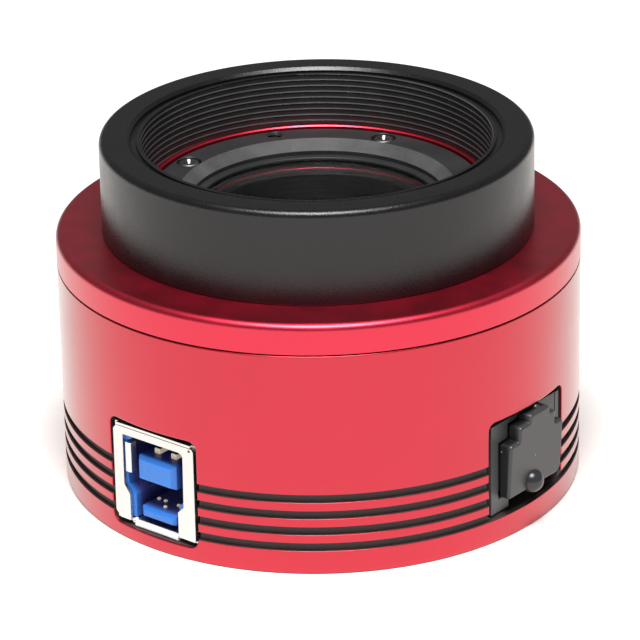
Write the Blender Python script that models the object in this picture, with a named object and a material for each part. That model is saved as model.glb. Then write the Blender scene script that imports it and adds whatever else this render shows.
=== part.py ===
"""Guide camera: a round red camera head with a black screw-on nose ring and two sockets in its side.

The origin is the middle of the back face, on the optical axis. +Z runs along that axis to the nose ring,
-Y faces out of the USB socket and +X out of the guide socket. Every size below is in millimetres.
"""

import math

import bmesh
import bpy
from mathutils import Matrix, Vector

MM = 0.001
SEGMENTS = 64
GAP = 0.3
REST = 0.15                      # between two flat faces that rest on each other

# Camera head
BODY_R = 31.0
WALL_R = 27.6
BORE_R = 28.8
EDGE = 0.25
BACK_POCKET = 1.9
SEAM_Z = 27.2
COVER_TOP = 30.9
COVER_FLOOR = 28.3
SPIGOT_R = 26.6
SPIGOT_LOW = 25.0
SEAL_SEAT_Z = 24.3
GROOVE_TOPS = (9.99, 7.96, 5.93, 3.9)
GROOVE_WIDTH = 1.02
GROOVE_DEPTH = 0.45

# Nose
RING_R = 25.5
RING_TOP = 42.2
RING_BORE_R = 20.6
RING_MOUTH_R = 21.7
THREAD_TOP = 41.4
BOSS_R = 20.3
BOSS_TOP = 35.45
RECESS_R = 19.7
RECESS_Z = 33.05
RETAINER_R = 19.45
RETAINER_TOP = 35.05
LIP_R = 14.5
LIP_TOP = 33.65
WINDOW_R = 15.9
WINDOW_Z = (32.0, 33.0)
LEDGE_Z = 31.45
LEDGE_R = 13.9
RETAINER_SCREW_R = 17.85
SCREW_HOLE_R = 0.95
COUNTERBORE_R = 1.5
COUNTERBORE_Z = 34.2
TAPPED_HOLE_R = 18.3
TAPPED_HOLE_LOW = 33.5
TAPPED_HOLE_ANGLES = (145.3, 325.3)
RETAINER_SCREW_ANGLES = [angle + side * 43.1 for angle in TAPPED_HOLE_ANGLES for side in (-1, 1)]

# Inside
PILLAR_CENTRE_R = 24.4
PILLAR_R = 2.4
STUD_R = 0.95
STUD_HOLE_R = 1.3
PILLAR_ANGLES = [45 + 90 * turn for turn in range(4)]
MAIN_BOARD_Z = (15.2, 16.8)
SENSOR_BOARD_Z = (21.5, 23.1)
BOARD_R = 26.9
PACKAGE_HALF = 5.7
PACKAGE_TOP = 25.1
POCKET_HALF = 4.3
DIE_Z = 24.55
CHIPS = (("image_processor", (-13, -1), (-2, 10), 1.5),
         ("usb_controller", (-4, 5), (-16, -7), 1.1),
         ("memory_chip", (-16, -8), (-14, -6), 1.2))

# USB socket, seen from outside along +Y
USB_X = -0.2
USB_FACE = -30.4
USB_REAR = -15.8
USB_CUT_X = (-6.8, 6.2)
USB_CUT_Z = (1.7, 15.1)
USB_SHELL_HALF = 6.05
USB_SHELL_Z = (2.15, 14.45)
USB_SHELL_WALL = 0.4
USB_OPENING = [(-4.5, 13.2), (-4.5, 7.0), (-3.55, 5.9), (-3.55, 2.65),
               (3.55, 2.65), (3.55, 5.9), (4.5, 7.0), (4.5, 13.2)]
USB_TONGUE_Z = (7.8, 10.7)
USB_TONGUE_HALF = 2.8
SS_TONGUE_Z = (3.3, 4.4)
SS_TONGUE_HALF = 2.6
TONGUE_TIPS = (0.3, 0.4)         # how far each tongue's tip is behind the shell's face
LINER_GAP = 0.15
CONTACT_TIP = -28.3
CONTACT_END = -21.0
FAST_CONTACT_TIPS = (-27.6, -27.6, -28.8, -27.6, -27.6)

# Guide socket and its rubber dust plug, seen from outside along -X
GUIDE_Y = 0.45
GUIDE_CUT_Y = (-6.8, 7.5)
GUIDE_CUT_Z = (3.0, 15.25)
JACK_FACE = 29.95
JACK_REAR = 14.0
JACK_HALF = 6.55
JACK_Z = (3.3, 14.5)
JACK_CAVITY_X = 15.6
CAVITY_HALVES = (5.2, 3.4)
CAVITY_TOPS = (4.9, 12.1, 13.9)  # its floor, then the top of each half width
PLUG_BACK = 30.2
PLUG_FRONT = (31.4, 31.95)       # at its lower and its upper edge: the plug leans out a little
PLUG_Z = (5.1, 14.75)
STEM_BACK = 25.2
BULB_R = 1.5
BULB_CENTRE = (31.2, 0.1, 5.9)


def polar(radius, degrees, z=0.0):
    """A point in millimetres from its radius and angle about the optical axis."""
    angle = math.radians(degrees)
    return Vector((radius * math.cos(angle), radius * math.sin(angle), z))


def material(name, color, roughness, metallic=0.0, alpha=1.0):
    """A Principled material of one colour."""
    made = bpy.data.materials.new(name)
    made.use_nodes = True
    shader = made.node_tree.nodes["Principled BSDF"]
    shader.inputs["Base Color"].default_value = (*color, 1.0)
    shader.inputs["Roughness"].default_value = roughness
    shader.inputs["Metallic"].default_value = metallic
    shader.inputs["Alpha"].default_value = alpha
    made.diffuse_color = (*color, alpha)
    return made


def lathe(profile, segments=SEGMENTS):
    """A closed body turned about Z from (radius, z) points in order; a radius of 0 is on the axis."""
    mesh = bmesh.new()
    rings = []
    for radius, z in profile:
        angles = [360 * k / segments for k in range(segments if radius else 1)]
        rings.append([mesh.verts.new(polar(radius, angle, z)) for angle in angles])
    for lower, upper in zip(rings, rings[1:] + rings[:1]):
        for k in range(segments):
            corners = [lower[k % len(lower)], lower[(k + 1) % len(lower)],
                       upper[(k + 1) % len(upper)], upper[k % len(upper)]]
            corners = list(dict.fromkeys(corners))
            if len(corners) > 2:
                mesh.faces.new(corners)
    return finished(mesh)


def place_along(axis, a, b, along):
    """A point from its two outline values and its place along the axis."""
    if axis == "x":
        return (along, a, b)
    if axis == "y":
        return (a, along, b)
    return (a, b, along)


def prism(outline, start, end, axis):
    """An outline drawn out along an axis: its points are (x, z) for "y", (y, z) for "x", (x, y) for "z"."""
    mesh = bmesh.new()
    near = [mesh.verts.new(place_along(axis, a, b, start)) for a, b in outline]
    far = [mesh.verts.new(place_along(axis, a, b, end)) for a, b in outline]
    mesh.faces.new(near)
    mesh.faces.new(far)
    for k in range(len(outline)):
        after = (k + 1) % len(outline)
        mesh.faces.new((near[k], near[after], far[after], far[k]))
    return finished(mesh)


def block(x, y, z):
    """A rectangular block from its low and high value on each axis."""
    return prism([(x[0], y[0]), (x[1], y[0]), (x[1], y[1]), (x[0], y[1])], z[0], z[1], "z")


def cylinder(radius, z, centre=(0, 0), segments=16):
    """An upright cylinder between two heights."""
    made = lathe([(0, z[0]), (radius, z[0]), (radius, z[1]), (0, z[1])], segments)
    return moved(made, (centre[0], centre[1], 0))


def rounded_rectangle(across, z, radius, steps=3):
    """The outline of a rectangle with round corners, from its low and high value each way."""
    left, right = across[0] + radius, across[1] - radius
    low, high = z[0] + radius, z[1] - radius
    outline = []
    for a, b, first in ((right, low, -90), (right, high, 0), (left, high, 90), (left, low, 180)):
        for step in range(steps + 1):
            angle = math.radians(first + 90 * step / steps)
            outline.append((a + radius * math.cos(angle), b + radius * math.sin(angle)))
    return outline


def finished(mesh):
    """Turns every face of a closed body outwards."""
    bmesh.ops.recalc_face_normals(mesh, faces=mesh.faces)
    return mesh


def moved(mesh, offset):
    """Shifts a body by an offset in millimetres."""
    bmesh.ops.translate(mesh, vec=offset, verts=mesh.verts)
    return mesh


def grouped(meshes):
    """Several bodies in one mesh, for a cutter."""
    whole = bmesh.new()
    for mesh in meshes:
        data = bpy.data.meshes.new("piece")
        mesh.to_mesh(data)
        mesh.free()
        whole.from_mesh(data)
        bpy.data.meshes.remove(data)
    return whole


def placed(name, mesh, finish=None, origin=(0, 0, 0)):
    """Makes an object of a body built in the camera's frame, with its own origin, in metres."""
    origin = Vector(origin)
    mesh.transform(Matrix.Scale(MM, 4) @ Matrix.Translation(-origin))
    data = bpy.data.meshes.new(name)
    mesh.to_mesh(data)
    mesh.free()
    data.shade_smooth()
    data.set_sharp_from_angle(angle=math.radians(35))
    made = bpy.data.objects.new(name, data)
    made.location = origin * MM
    bpy.context.scene.collection.objects.link(made)
    if finish:
        data.materials.append(finish)
        made.parent = bpy.data.objects["camera"]
    return made


def copies(name, mesh, finish, places):
    """Numbered objects that share one mesh, each with its place in millimetres and its turn in degrees."""
    first = placed(f"{name}_1", mesh, finish)
    for number, (place, turn) in enumerate(places, start=1):
        made = first
        if number > 1:
            made = bpy.data.objects.new(f"{name}_{number}", first.data)
            bpy.context.scene.collection.objects.link(made)
            made.parent = first.parent
        made.location = Vector(place) * MM
        made.rotation_euler.z = math.radians(turn)


def combine(target, mesh, operation):
    """Cuts a body out of an object, or joins it on."""
    cutter = placed(f"{target.name}_{operation.lower()}_{len(target.modifiers)}", mesh)
    cutter.hide_render = True
    cutter.display_type = "WIRE"
    boolean = target.modifiers.new(operation.title(), "BOOLEAN")
    boolean.operation = operation
    boolean.solver = "EXACT"
    boolean.object = cutter


def build_main_shell():
    """The red barrel with four black-filled grooves, a pocket at each end and a cut-out for each socket."""
    outside = [(BODY_R - EDGE, 0), (BODY_R, EDGE)]
    for top in reversed(GROOVE_TOPS):
        low = top - GROOVE_WIDTH
        floor = BODY_R - GROOVE_DEPTH
        outside += [(BODY_R, low), (floor, low), (floor, top), (BODY_R, top)]
    seam = SEAM_Z - REST / 2
    inside = [(BORE_R, seam), (BORE_R, SEAL_SEAT_Z), (WALL_R, SEAL_SEAT_Z), (WALL_R, BACK_POCKET),
              (BORE_R, BACK_POCKET), (BORE_R, 0)]
    shell = placed("main_shell", lathe(outside + [(BODY_R, seam)] + inside),
                   material("red_shell", (0.62, 0.03, 0.05), 0.35, 0.8))
    usb = prism(rounded_rectangle(USB_CUT_X, USB_CUT_Z, 1.1), -BODY_R - 1, -22, "y")
    guide = prism(rounded_rectangle(GUIDE_CUT_Y, GUIDE_CUT_Z, 1.0), 22, BODY_R + 1, "x")
    combine(shell, grouped([usb, guide]), "DIFFERENCE")


def build_front_cover():
    """The red front cover: a flange, a spigot inside the barrel, the threaded boss and the window's seat."""
    seam = SEAM_Z + REST / 2
    seat_r = WINDOW_R + GAP
    profile = [(LEDGE_R, COVER_FLOOR), (SPIGOT_R, COVER_FLOOR), (SPIGOT_R, SPIGOT_LOW),
               (BORE_R - GAP, SPIGOT_LOW), (BORE_R - GAP, seam), (BODY_R, seam),
               (BODY_R, COVER_TOP - 2 * EDGE), (BODY_R - 2 * EDGE, COVER_TOP), (BOSS_R, COVER_TOP),
               (BOSS_R, BOSS_TOP - EDGE),
               (BOSS_R - EDGE, BOSS_TOP), (RECESS_R, BOSS_TOP), (RECESS_R, RECESS_Z), (seat_r, RECESS_Z),
               (seat_r, LEDGE_Z), (LEDGE_R, LEDGE_Z)]
    cover = placed("front_cover", lathe(profile), material("red_cover", (0.66, 0.03, 0.06), 0.3, 0.8))
    post_z = (SENSOR_BOARD_Z[1] + REST, COVER_FLOOR + 1)
    stud_z = (SENSOR_BOARD_Z[1] - 1, 27.5)
    screw_z = (29.6, BOSS_TOP + 1)
    posts = [cylinder(PILLAR_R, post_z, polar(PILLAR_CENTRE_R, angle)) for angle in PILLAR_ANGLES]
    combine(cover, grouped(posts), "UNION")
    holes = [cylinder(STUD_HOLE_R, stud_z, polar(PILLAR_CENTRE_R, angle), 12) for angle in PILLAR_ANGLES]
    holes += [cylinder(SCREW_HOLE_R, screw_z, polar(RETAINER_SCREW_R, angle), 12)
              for angle in RETAINER_SCREW_ANGLES]
    combine(cover, grouped(holes), "DIFFERENCE")


def build_back_cover():
    """The flush back plate, with a countersunk hole for each back screw."""
    radius, top = BORE_R - GAP, BACK_POCKET - GAP
    plate = placed("back_cover", lathe([(0, 0), (radius, 0), (radius, top), (0, top)]),
                   material("red_back", (0.6, 0.03, 0.05), 0.38, 0.8))
    sink = [(0, -0.5), (2.6, -0.5), (2.6, 0.1), (1.35, 1.1), (1.35, 2.5), (0, 2.5)]
    holes = [moved(lathe(sink, 16), polar(PILLAR_CENTRE_R, angle)) for angle in PILLAR_ANGLES]
    combine(plate, grouped(holes), "DIFFERENCE")


def build_adapter_ring():
    """The black nose ring, two inches across, that screws onto the boss and carries an inside thread."""
    low = COVER_TOP + REST
    rim = 2 * EDGE
    profile = [(RING_BORE_R, low), (RING_R - EDGE, low), (RING_R, low + EDGE), (RING_R, RING_TOP - rim),
               (RING_R - rim, RING_TOP), (RING_MOUTH_R + rim, RING_TOP), (RING_MOUTH_R, RING_TOP - rim),
               (RING_MOUTH_R, THREAD_TOP), (RING_BORE_R, THREAD_TOP)]
    placed("adapter_ring", lathe(profile), material("black_anodised", (0.04, 0.04, 0.042), 0.45, 0.4),
           (0, 0, COVER_TOP))


def build_window_retainer():
    """The black plate that holds the window down, with four screws and two tapped holes."""
    low = RECESS_Z + REST
    under, above = low - 1, RETAINER_TOP + 1
    profile = [(LIP_R, low), (RETAINER_R, low), (RETAINER_R, RETAINER_TOP), (16.3, RETAINER_TOP),
               (15.1, 33.9), (15.1, LIP_TOP), (LIP_R, LIP_TOP)]
    retainer = placed("window_retainer", lathe(profile),
                      material("black_plate", (0.035, 0.035, 0.038), 0.5, 0.3))
    bore = [(0, under), (SCREW_HOLE_R, under), (SCREW_HOLE_R, COUNTERBORE_Z), (COUNTERBORE_R, COUNTERBORE_Z),
            (COUNTERBORE_R, above), (0, above)]
    cuts = [moved(lathe(bore, 16), polar(RETAINER_SCREW_R, angle)) for angle in RETAINER_SCREW_ANGLES]
    cuts += [cylinder(1.0, (TAPPED_HOLE_LOW, above), polar(TAPPED_HOLE_R, angle), 12)
             for angle in TAPPED_HOLE_ANGLES]
    combine(retainer, grouped(cuts), "DIFFERENCE")


def build_window():
    """The clear window on its flat gasket."""
    placed("window_glass", cylinder(WINDOW_R, WINDOW_Z, segments=SEGMENTS),
           material("window_glass", (0.85, 0.95, 0.93), 0.02, 0.0, 0.3))
    gasket = (LEDGE_Z + REST, WINDOW_Z[0] - REST)
    inner = LEDGE_R + 0.4
    profile = [(inner, gasket[0]), (WINDOW_R, gasket[0]), (WINDOW_R, gasket[1]), (inner, gasket[1])]
    placed("window_gasket", lathe(profile, 48), material("gasket_rubber", (0.02, 0.02, 0.02), 0.7))


def build_retainer_screws():
    """Four small cross-head screws, modelled once."""
    under = COUNTERBORE_Z + 0.2
    profile = [(0, 30), (0.7, 30), (0.7, under), (1.3, under), (1.3, 34.9), (1.0, 35.15), (0, 35.15)]
    places = [(polar(RETAINER_SCREW_R, angle), angle) for angle in RETAINER_SCREW_ANGLES]
    black = material("black_steel", (0.05, 0.05, 0.05), 0.3, 0.9)
    copies("retainer_screw", lathe(profile, 16), black, places)


def build_back_screws():
    """Four countersunk screws through the back plate into the pillars."""
    profile = [(0, 0.1), (2.1, 0.1), (0.95, 1.1), (0.95, 6.5), (0, 6.5)]
    places = [(polar(PILLAR_CENTRE_R, angle), angle) for angle in PILLAR_ANGLES]
    dark = material("dark_steel", (0.12, 0.12, 0.12), 0.3, 0.9)
    copies("back_screw", lathe(profile, 16), dark, places)


def build_pillars():
    """Hexagonal pillars below the main board and spacers above it, each with a stud on top."""
    brass = material("pillar_brass", (0.75, 0.6, 0.32), 0.3, 0.9)
    places = [(polar(PILLAR_CENTRE_R, angle), angle) for angle in PILLAR_ANGLES]
    for name, low, top, stud_top in (
            ("frame_pillar", BACK_POCKET, MAIN_BOARD_Z[0] - REST, 18.6),
            ("board_spacer", MAIN_BOARD_Z[1] + REST, SENSOR_BOARD_Z[0] - REST, 26.4)):
        bore = STUD_R + GAP
        deep = low + (7.4 if name == "frame_pillar" else 2.6)
        profile = [(bore, low), (PILLAR_R, low), (PILLAR_R, top), (STUD_R, top), (STUD_R, stud_top),
                   (0, stud_top), (0, deep), (bore, deep)]
        copies(name, lathe(profile, 12), brass, places)


def build_shell_seal():
    """The flat rubber seal between the barrel and the front cover's spigot."""
    low, high = SEAL_SEAT_Z + REST, SPIGOT_LOW - REST
    profile = [(27.0, low), (BORE_R - GAP, low), (BORE_R - GAP, high), (27.0, high)]
    placed("shell_seal", lathe(profile), material("seal_rubber", (0.03, 0.03, 0.03), 0.7))


def build_light_baffle():
    """The soft black cup that closes the chamber between the window and the sensor."""
    low = SENSOR_BOARD_Z[1] + REST
    high = LEDGE_Z - 0.25
    floor = low + 1.4
    profile = [(8.4, low), (LEDGE_R - GAP, low), (LEDGE_R - GAP, high), (12.7, high), (12.7, floor),
               (8.4, floor)]
    placed("light_baffle", lathe(profile, 48), material("baffle_rubber", (0.02, 0.02, 0.02), 0.8))


def build_sensor():
    """The image sensor: a ceramic package with a stepped pocket, the die and the cover glass."""
    low = SENSOR_BOARD_Z[1] + REST
    half = PACKAGE_HALF
    package = placed("sensor_package", block((-half, half), (-half, half), (low, PACKAGE_TOP)),
                     material("ceramic", (0.32, 0.28, 0.24), 0.6))
    inside = (-POCKET_HALF, POCKET_HALF)
    combine(package, block(inside, inside, (DIE_Z - 0.75, PACKAGE_TOP + 1)), "DIFFERENCE")
    placed("sensor_die", block((-2.9, 2.9), (-2.3, 2.3), (DIE_Z - 0.6, DIE_Z)),
           material("silicon", (0.2, 0.24, 0.3), 0.15, 0.6))
    placed("sensor_cover_glass", block((-4.9, 4.9), (-4.9, 4.9), (PACKAGE_TOP + REST, PACKAGE_TOP + 0.6)),
           material("sensor_glass", (0.85, 0.92, 0.95), 0.02, 0.0, 0.3))


def build_boards():
    """The sensor board and the main board, with the header and socket that join them."""
    green = material("board_green", (0.02, 0.16, 0.08), 0.4)
    black = material("connector_black", (0.04, 0.04, 0.04), 0.5)
    for name, height in (("sensor_board", SENSOR_BOARD_Z), ("main_board", MAIN_BOARD_Z)):
        board = placed(name, cylinder(BOARD_R, height, segments=48), green)
        through = (height[0] - 1, height[1] + 1)
        holes = [cylinder(STUD_HOLE_R, through, polar(PILLAR_CENTRE_R, angle), 12) for angle in PILLAR_ANGLES]
        combine(board, grouped(holes), "DIFFERENCE")
    placed("board_header", block((-7, 7), (16, 20), (MAIN_BOARD_Z[1] + REST, 19.0)), black)
    placed("board_socket", block((-7.5, 7.5), (15.5, 20.5), (19.0 + REST, SENSOR_BOARD_Z[0] - REST)), black)


def build_chips():
    """The larger parts on the main board."""
    low = MAIN_BOARD_Z[1] + REST
    chip = material("chip_black", (0.05, 0.05, 0.055), 0.45)
    for name, x, y, height in CHIPS:
        placed(name, block(x, y, (low, low + height)), chip)
    placed("clock_crystal", block((8, 13), (-14, -10.8), (low, low + 1.2)),
           material("crystal_can", (0.75, 0.75, 0.76), 0.25, 0.9))
    inductor = lathe([(0, low), (3.4, low), (3.4, low + 0.9), (2.6, low + 0.9), (2.6, low + 2.1),
                      (3.4, low + 2.1), (3.4, low + 3), (0, low + 3)], 16)
    placed("power_inductor", moved(inductor, (11, 6, 0)), material("ferrite", (0.1, 0.1, 0.1), 0.6))


def usb_point(points, shrink=0.0):
    """USB outline points moved to the socket's place, each pulled towards the middle of the opening."""
    middle = 8.0
    return [(USB_X + x - math.copysign(shrink, x), z - math.copysign(shrink, z - middle)) for x, z in points]


def build_usb_socket():
    """The USB socket: a folded steel shell, the blue insulator with its two tongues, and the contacts."""
    x = (USB_X - USB_SHELL_HALF, USB_X + USB_SHELL_HALF)
    shell = placed("usb_shell", block(x, (USB_FACE, USB_REAR), USB_SHELL_Z),
                   material("plated_steel", (0.85, 0.85, 0.84), 0.2, 0.95))
    wall = USB_SHELL_WALL
    inside = block((x[0] + wall, x[1] - wall), (USB_FACE + wall, USB_REAR + 1),
                   (USB_SHELL_Z[0] + wall, USB_SHELL_Z[1] - wall))
    combine(shell, inside, "DIFFERENCE")
    combine(shell, prism(usb_point(USB_OPENING), USB_FACE - 1, USB_FACE + 1, "y"), "DIFFERENCE")

    wall += LINER_GAP
    front = USB_FACE + wall
    insulator = placed("usb_insulator", block((x[0] + wall, x[1] - wall), (front, USB_REAR),
                                              (USB_SHELL_Z[0] + wall, USB_SHELL_Z[1] - wall)),
                       material("usb_blue", (0.02, 0.12, 0.55), 0.35))
    combine(insulator, prism(usb_point(USB_OPENING, 0.25), front - 1, -20.5, "y"), "DIFFERENCE")
    tongues = []
    for half, z, tip in zip((USB_TONGUE_HALF, SS_TONGUE_HALF), (USB_TONGUE_Z, SS_TONGUE_Z), TONGUE_TIPS):
        tongues.append(block((USB_X - half, USB_X + half), (USB_FACE + tip, -20), z))
    combine(insulator, grouped(tongues), "UNION")

    gold = material("contact_gold", (0.83, 0.62, 0.28), 0.25, 0.95)
    number = 0
    for across, z in ((1.25, USB_TONGUE_Z[1] + 0.1), (1.0, USB_TONGUE_Z[0] - 0.4)):
        for side in (-1, 1):
            number += 1
            middle = USB_X + side * across
            leaf = block((middle - 0.4, middle + 0.4), (CONTACT_TIP, CONTACT_END), (z, z + 0.3))
            placed(f"usb_contact_{number}", leaf, gold)
    low = SS_TONGUE_Z[1] + 0.1
    for step, tip in enumerate(FAST_CONTACT_TIPS):
        middle = USB_X + step - 2
        leaf = block((middle - 0.25, middle + 0.25), (tip, CONTACT_END), (low, low + 0.2))
        placed(f"usb_fast_contact_{step + 1}", leaf, gold)


def stepped_outline(half_widths, heights):
    """A keyed outline, symmetric about the guide socket: each half width has its top, narrower going up."""
    low, *tops = heights
    right = []
    bottom = low
    for half, top in zip(half_widths, tops):
        right += [(half, bottom), (half, top)]
        bottom = top
    outline = [(GUIDE_Y + y, z) for y, z in right]
    outline += [(GUIDE_Y - y, z) for y, z in reversed(right)]
    return outline


def build_guide_jack():
    """The six-way guide socket's housing, with a keyed cavity that is open at the front, and its contacts."""
    across = (GUIDE_Y - JACK_HALF, GUIDE_Y + JACK_HALF)
    housing = placed("guide_jack", block((JACK_REAR, JACK_FACE), across, JACK_Z),
                     material("jack_grey", (0.07, 0.075, 0.07), 0.5))
    cavity = stepped_outline(CAVITY_HALVES, CAVITY_TOPS)
    combine(housing, prism(cavity, JACK_CAVITY_X, JACK_FACE + 1, "x"), "DIFFERENCE")
    gold = material("spring_gold", (0.83, 0.62, 0.28), 0.25, 0.95)
    for step in range(6):
        middle = GUIDE_Y + (step - 2.5) * 1.02
        wire = prism([(15.9, 5.05), (24.9, 5.05), (24.9, 5.35), (19.5, 6.6), (15.9, 5.35)],
                     middle - 0.22, middle + 0.22, "y")
        placed(f"guide_contact_{step + 1}", wire, gold)


def build_guide_plug():
    """The rubber dust plug: a keyed head that leans out slightly, a stem in the cavity and a bulb to pull."""
    outline = stepped_outline((5.15, 3.5, 2.0), (PLUG_Z[0], 12.0, 13.7, PLUG_Z[1]))
    head = prism(outline, PLUG_BACK, PLUG_FRONT[0], "x")
    for vertex in head.verts:
        if vertex.co.x > PLUG_BACK:
            lean = (vertex.co.z - PLUG_Z[0]) / (PLUG_Z[1] - PLUG_Z[0])
            vertex.co.x += lean * (PLUG_FRONT[1] - PLUG_FRONT[0])
    rubber = material("plug_rubber", (0.13, 0.13, 0.128), 0.65)
    plug = placed("guide_plug", head, rubber, (PLUG_BACK, GUIDE_Y, 8.5))
    stem = prism(stepped_outline((4.9, 3.1), (5.65, 11.8, 13.6)), STEM_BACK, PLUG_BACK + 0.5, "x")
    combine(plug, stem, "UNION")
    bulb = bmesh.new()
    bmesh.ops.create_uvsphere(bulb, u_segments=12, v_segments=8, radius=BULB_R)
    combine(plug, moved(bulb, BULB_CENTRE), "UNION")


def main():
    for old in list(bpy.data.objects):
        bpy.data.objects.remove(old)
    camera = bpy.data.objects.new("camera", None)
    bpy.context.scene.collection.objects.link(camera)
    build_main_shell()
    build_front_cover()
    build_back_cover()
    build_adapter_ring()
    build_window_retainer()
    build_window()
    build_retainer_screws()
    build_back_screws()
    build_pillars()
    build_shell_seal()
    build_light_baffle()
    build_sensor()
    build_boards()
    build_chips()
    build_usb_socket()
    build_guide_jack()
    build_guide_plug()


main()
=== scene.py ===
"""Looks of the guide camera: a round red camera head with a black nose ring, standing on a pale floor.

Sizes are in millimetres in the part's own frame: +Z up the optical axis, -Y out of the USB socket and +X out
of the guide socket. Each visible piece is built here round the place that its CAD node holds.
"""

import math

import bmesh
import bpy
from mathutils import Matrix, Quaternion, Vector


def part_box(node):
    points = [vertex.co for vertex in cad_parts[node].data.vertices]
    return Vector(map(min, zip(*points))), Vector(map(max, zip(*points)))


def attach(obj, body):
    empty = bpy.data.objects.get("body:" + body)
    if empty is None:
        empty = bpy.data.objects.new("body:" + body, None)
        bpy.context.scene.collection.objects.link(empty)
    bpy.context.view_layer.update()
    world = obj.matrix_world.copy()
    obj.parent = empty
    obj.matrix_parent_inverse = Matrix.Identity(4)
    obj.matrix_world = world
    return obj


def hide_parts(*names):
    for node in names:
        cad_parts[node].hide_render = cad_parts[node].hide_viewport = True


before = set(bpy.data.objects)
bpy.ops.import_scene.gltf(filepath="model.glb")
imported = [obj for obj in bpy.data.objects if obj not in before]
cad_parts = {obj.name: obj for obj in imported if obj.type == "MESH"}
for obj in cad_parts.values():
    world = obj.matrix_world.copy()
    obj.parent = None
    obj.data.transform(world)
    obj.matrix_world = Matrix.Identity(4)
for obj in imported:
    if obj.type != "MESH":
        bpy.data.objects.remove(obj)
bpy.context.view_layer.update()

MM = 0.001
MERGE = 1e-4                     # points closer than this are one point
MARGIN = 0.01                    # keeps a test clear of the faces at its limit
CAMERA_BODY, NOSE_RING, DUST_PLUG = "camera_body", "nose_ring", "dust_plug"


def span(node):
    """A CAD node's low and high value on each axis, in millimetres."""
    low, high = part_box(node)
    return [(a / MM, b / MM) for a, b in zip(low, high)]


def middle_of(node):
    """The middle of a CAD node's box, in millimetres."""
    return Vector([(low + high) / 2 for low, high in span(node)])


# Driving sizes, read from the frame
BODY_R = span("main_shell")[0][1]
SHELL_TOP = span("main_shell")[2][1]
BOSS_TOP = span("front_cover")[2][1]
RING_R = span("adapter_ring")[0][1]
RING_LOW, RING_TOP = span("adapter_ring")[2]
RING_FOOT = RING_LOW - 0.1
COVER_TOP = RING_LOW - 0.15
RETAINER_R = span("window_retainer")[0][1]
RETAINER_LOW = span("window_retainer")[2][0]
RETAINER_TOP = span("window_retainer")[2][1] + 0.08
WINDOW_R = span("window_glass")[0][1]
WINDOW_LOW, WINDOW_TOP = span("window_glass")[2]

# Camera head
BORE_R = 28.8                    # at the seats of the two covers
WALL_R = 27.6                    # between them
WALL_LOW, WALL_HIGH = 1.9, 24.3
GROOVE_TOPS = (9.99, 7.96, 5.93, 3.9)
GROOVE_WIDTH = 1.02
GROOVE_DEPTH = 0.45
SEAM_LOW = SHELL_TOP + 0.15
SEAT_R = WINDOW_R + 0.3          # the window's seat in the cover
LEDGE_Z = 31.45
LEDGE_R = 13.9
RECESS_R = 19.7
RECESS_Z = 33.05
SCREW_NUMBERS = range(1, 5)      # of the back cover and of the retainer

# Threads: the 42 mm thread in the ring and on the boss
PITCH = 0.75
RING_CREST, RING_ROOT = 20.59, 20.75
RING_FIRST_CREST = 31.65         # the height of a crest's foot on the +X side
RING_THREAD_TOP = 41.8
BOSS_CREST, BOSS_ROOT = 20.5, 20.1
TAPPED_HOLE_R = 18.3
TAPPED_HOLE_ANGLES = (145.3, 325.3)

# USB socket
USB_FACE = -30.4
USB_CUT_X = (-6.8, 6.2)
USB_CUT_Z = (1.7, 15.1)
USB_CUT_CORNER = 1.1

# Guide socket
GUIDE_Y = 0.45
GUIDE_CUT_Y = (-6.8, 7.5)
GUIDE_CUT_Z = (3.0, 15.25)
GUIDE_CUT_CORNER = 1.0

# Studio, with angles in degrees
CAMERA_AZIMUTH = 39.3
CAMERA_ELEVATION = 23.59
CAMERA_DISTANCE = 462.2
CAMERA_ROLL = -1.11
CAMERA_LENS = 217.67
CAMERA_AIM = (0, 0, 18.07)
LIGHT_SIZE, LIGHT_FORWARD, LIGHT_HEIGHT = 0.5, 0.33, 1.0     # in metres
LIGHT_ENERGY = 18.6

# Finishes
MIX_LOW, MIX_HIGH = 0.7, 1.3     # the usual range of two noises' sum
PATCH = 30                       # a broad patch's size, in grains


# ---------------------------------------------------------------- finishes


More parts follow.
